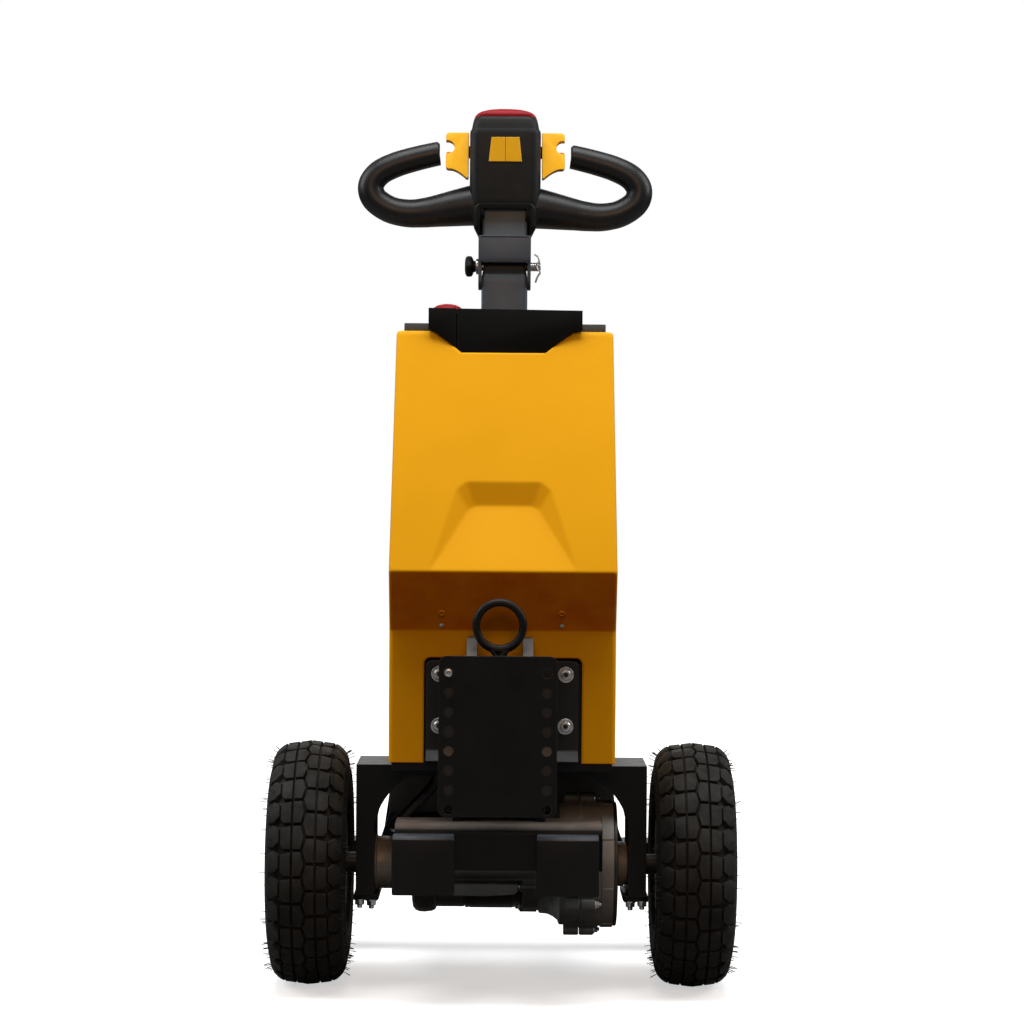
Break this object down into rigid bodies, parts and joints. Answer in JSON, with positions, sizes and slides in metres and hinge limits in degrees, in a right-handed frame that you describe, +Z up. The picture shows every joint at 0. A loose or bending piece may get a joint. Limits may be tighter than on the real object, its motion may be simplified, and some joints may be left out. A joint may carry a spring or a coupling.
{
  "type": "walk-behind electric tug",
  "caption": "Walk-behind battery tug: folded sheet body on two pneumatic drive wheels with rear swivel casters, a drilled coupling plate in front and a tilting tiller with open grip loops.",
  "frame": {"origin": "on the floor, under the centre of the machine's bounding box", "axes": "+Z up, -Y towards the coupling plate (front), +Y towards the operator, +X to the right when looking at the coupling plate from the front"},
  "size_m": [0.6262, 0.606, 1.199],
  "materials": {
    "tyre": "moulded rubber, satin",
    "rim_paint": "silver powder coat",
    "zinc_steel": "bright zinc plate",
    "yellow_paint": "semi-gloss powder coat",
    "charcoal_paint": "fine textured powder coat",
    "grey_paint": "satin powder coat",
    "cast_aluminium": "as cast, slightly rough",
    "motor_paint": "satin enamel",
    "black_plastic": "fine grained moulding",
    "grip_rubber": "smooth soft grip skin",
    "pad_rubber": "moulded rubber",
    "yellow_plastic": "gloss moulding",
    "red_plastic": "gloss moulding",
    "battery_case": "closed block inside the cover",
    "caster_tread": "grey rubber tread",
    "conduit": "corrugated nylon"
  },
  "bodies": {
    "chassis": {"axle_frame": "charcoal_paint", "axle_tube": "cast_aluminium", "base_plate": "charcoal_paint", "battery_pack": "battery_case", "bumper_pad_left": "pad_rubber", "bumper_pad_right": "pad_rubber", "caster_beam": "charcoal_paint", "caster_head_left": "zinc_steel", "caster_head_right": "zinc_steel", "chassis_box": "grey_paint", "control_box": "black_plastic", "coupling_bracket": "grey_paint", "coupling_plate": "charcoal_paint", "deck_plate": "grey_paint", "drive_motor": "motor_paint", "emergency_stop": "red_plastic", "front_cover": "yellow_paint", "front_guard": "charcoal_paint", "gearbox": "cast_aluminium", "motor_brake_cap": "motor_paint", "motor_cable": "conduit", "mount_plate": "charcoal_paint", "rear_bracket": "charcoal_paint", "rear_panel": "grey_paint", "tiller_post": "grey_paint"},
    "left_drive_wheel": {"tyre_left": "tyre", "rim_left": "rim_paint", "wheel_hub_left": "zinc_steel"},
    "left_caster": {"caster_fork_left": "zinc_steel", "caster_axle_left": "zinc_steel"},
    "left_caster_wheel": {"caster_wheel_left": "caster_tread"},
    "right_drive_wheel": {"tyre_right": "tyre", "rim_right": "rim_paint", "wheel_hub_right": "zinc_steel"},
    "right_caster": {"caster_fork_right": "zinc_steel", "caster_axle_right": "zinc_steel"},
    "right_caster_wheel": {"caster_wheel_right": "caster_tread"},
    "tiller_handle": {"tiller_yoke": "grey_paint", "tiller_arm": "grey_paint", "lock_knob": "black_plastic", "pivot_pin": "zinc_steel", "tiller_head": "black_plastic", "reverse_button": "red_plastic", "throttle_left": "yellow_plastic", "throttle_right": "yellow_plastic", "handle_loop_left": "grip_rubber", "handle_loop_right": "grip_rubber"},
    "towing_pin": {"tow_pin": "charcoal_paint"}
  },
  "joints": [
    {"name": "left_drive_wheel_spin", "type": "hinge", "parent": "chassis", "child": "left_drive_wheel", "pos_m": [-0.259, -0.063, 0.165], "axis": [1, 0, 0], "continuous": true},
    {"name": "right_drive_wheel_spin", "type": "hinge", "parent": "chassis", "child": "right_drive_wheel", "pos_m": [0.259, -0.063, 0.165], "axis": [1, 0, 0], "continuous": true},
    {"name": "left_caster_swivel", "type": "hinge", "parent": "chassis", "child": "left_caster", "pos_m": [-0.262, 0.223, 0.118], "axis": [0, 0, 1], "continuous": true},
    {"name": "left_caster_wheel_spin", "type": "hinge", "parent": "left_caster", "child": "left_caster_wheel", "pos_m": [-0.262, 0.253, 0.05], "axis": [1, 0, 0], "continuous": true},
    {"name": "right_caster_swivel", "type": "hinge", "parent": "chassis", "child": "right_caster", "pos_m": [0.262, 0.223, 0.118], "axis": [0, 0, 1], "continuous": true},
    {"name": "right_caster_wheel_spin", "type": "hinge", "parent": "right_caster", "child": "right_caster_wheel", "pos_m": [0.262, 0.253, 0.05], "axis": [1, 0, 0], "continuous": true},
    {"name": "tiller_tilt", "type": "hinge", "parent": "chassis", "child": "tiller_handle", "pos_m": [0, -0.003, 0.98], "axis": [-1, 0, 0], "range_deg": [-10, 60]},
    {"name": "tow_pin_lift", "type": "slide", "parent": "chassis", "child": "towing_pin", "axis": [0, 0, 1], "range_m": [0, 0.1]}
  ]
}
